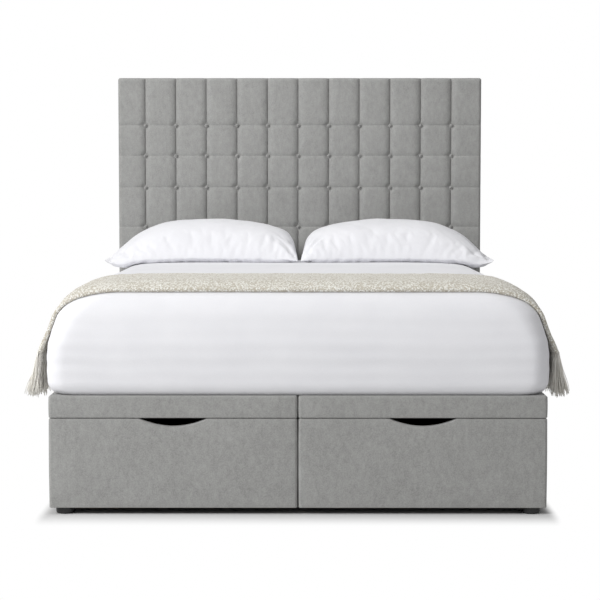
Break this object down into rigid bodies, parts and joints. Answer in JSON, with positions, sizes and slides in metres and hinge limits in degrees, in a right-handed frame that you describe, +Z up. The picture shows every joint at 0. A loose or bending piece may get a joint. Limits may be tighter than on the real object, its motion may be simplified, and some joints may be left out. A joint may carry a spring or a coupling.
{
  "type": "ottoman divan bed",
  "caption": "King-size divan bed with a lift-up platform over two storage boxes, gas-strut four-bar lifts, mattress, pillows, throw and tall buttoned headboard",
  "frame": {"origin": "on the floor, at the centre of the bed's bounding box", "axes": "+X to the right seen from the foot end, +Y from the foot end to the headboard, +Z up"},
  "size_m": [1.6562, 2.095, 1.433],
  "materials": {
    "grey_cloth": "short plush",
    "board": "raw chipboard",
    "timber": "planed softwood",
    "black_plastic": "matt",
    "zinc_steel": "zinc plated",
    "black_steel": "powder coated",
    "white_cotton": "cotton sheet",
    "oat_knit": "knitted",
    "black_cloth": "dust cloth"
  },
  "bodies": {
    "base": {"left_side_panel": "board", "left_centre_panel": "board", "left_foot_panel": "board", "left_head_panel": "board", "left_floor_board": "board", "left_base_cover": "grey_cloth", "right_side_panel": "board", "right_centre_panel": "board", "right_foot_panel": "board", "right_head_panel": "board", "right_floor_board": "board", "right_base_cover": "grey_cloth", "left_inner_base_bracket": "black_steel", "left_outer_base_bracket": "black_steel", "right_inner_base_bracket": "black_steel", "right_outer_base_bracket": "black_steel", "corner_blocks": "timber", "divan_feet": "black_plastic", "lid_buffers": "black_plastic", "base_link_bolts": "zinc_steel", "headboard_pad": "grey_cloth", "headboard_buttons": "grey_cloth", "headboard_board": "board", "headboard_plinth": "grey_cloth", "headboard_frame": "timber", "headboard_back": "black_cloth", "headboard_bolts": "zinc_steel"},
    "platform": {"left_lid_frame": "timber", "left_lid_deck": "board", "left_lid_cover": "grey_cloth", "left_pillow": "white_cotton", "left_fringe": "oat_knit", "right_lid_frame": "timber", "right_lid_deck": "board", "right_lid_cover": "grey_cloth", "right_pillow": "white_cotton", "right_fringe": "oat_knit", "left_inner_lid_bracket": "black_steel", "left_outer_lid_bracket": "black_steel", "right_inner_lid_bracket": "black_steel", "right_outer_lid_bracket": "black_steel", "lid_link_bolts": "zinc_steel", "mattress": "white_cotton", "throw": "oat_knit"},
    "left_front_arms": {"left_inner_front_arm": "black_steel", "left_outer_front_arm": "black_steel"},
    "left_rear_arms": {"left_inner_rear_arm": "black_steel", "left_outer_rear_arm": "black_steel"},
    "left_gas_cylinders": {"left_inner_gas_cylinder": "black_steel", "left_outer_gas_cylinder": "black_steel"},
    "left_gas_rods": {"left_inner_gas_rod": "zinc_steel", "left_outer_gas_rod": "zinc_steel"},
    "right_front_arms": {"right_inner_front_arm": "black_steel", "right_outer_front_arm": "black_steel"},
    "right_rear_arms": {"right_inner_rear_arm": "black_steel", "right_outer_rear_arm": "black_steel"},
    "right_gas_cylinders": {"right_inner_gas_cylinder": "black_steel", "right_outer_gas_cylinder": "black_steel"},
    "right_gas_rods": {"right_inner_gas_rod": "zinc_steel", "right_outer_gas_rod": "zinc_steel"}
  },
  "joints": [
    {"name": "left_front_arm_lift", "type": "hinge", "parent": "base", "child": "left_front_arms", "pos_m": [0, 0.2075, 0.126], "axis": [1, 0, 0], "range_deg": [0, 65]},
    {"name": "platform_tilt", "type": "hinge", "parent": "left_front_arms", "child": "platform", "pos_m": [0, 0.6175, 0.316], "axis": [1, 0, 0], "range_deg": [-98.5, 0]},
    {"name": "left_rear_arm_lift", "type": "hinge", "parent": "base", "child": "left_rear_arms", "pos_m": [0, 0.4175, 0.126], "axis": [1, 0, 0], "range_deg": [0, 71]},
    {"name": "left_gas_cylinder_turn", "type": "hinge", "parent": "base", "child": "left_gas_cylinders", "pos_m": [0, 0.3025, 0.066], "axis": [1, 0, 0], "range_deg": [0, 55]},
    {"name": "left_gas_rod_stroke", "type": "slide", "parent": "left_gas_cylinders", "child": "left_gas_rods", "axis": [0, 0.5606, 0.8281], "range_m": [0, 0.111]},
    {"name": "right_front_arm_lift", "type": "hinge", "parent": "base", "child": "right_front_arms", "pos_m": [0, 0.2075, 0.126], "axis": [1, 0, 0], "range_deg": [0, 65.5]},
    {"name": "right_rear_arm_lift", "type": "hinge", "parent": "base", "child": "right_rear_arms", "pos_m": [0, 0.4175, 0.126], "axis": [1, 0, 0], "range_deg": [0, 71]},
    {"name": "right_gas_cylinder_turn", "type": "hinge", "parent": "base", "child": "right_gas_cylinders", "pos_m": [0, 0.3025, 0.066], "axis": [1, 0, 0], "range_deg": [0, 55]},
    {"name": "right_gas_rod_stroke", "type": "slide", "parent": "right_gas_cylinders", "child": "right_gas_rods", "axis": [0, 0.5606, 0.8281], "range_m": [0, 0.111]}
  ],
  "couplings": [
    {"joint": "platform_tilt", "follows": "left_front_arm_lift", "ratio": -1.51},
    {"joint": "left_rear_arm_lift", "follows": "left_front_arm_lift", "ratio": 1.09},
    {"joint": "left_gas_cylinder_turn", "follows": "left_front_arm_lift", "ratio": 0.83787},
    {"joint": "left_gas_rod_stroke", "follows": "left_front_arm_lift", "m_per_rad": 0.096499},
    {"joint": "right_front_arm_lift", "follows": "left_front_arm_lift", "ratio": 1},
    {"joint": "right_rear_arm_lift", "follows": "left_front_arm_lift", "ratio": 1.09},
    {"joint": "right_gas_cylinder_turn", "follows": "left_front_arm_lift", "ratio": 0.83787},
    {"joint": "right_gas_rod_stroke", "follows": "left_front_arm_lift", "m_per_rad": 0.096499}
  ]
}
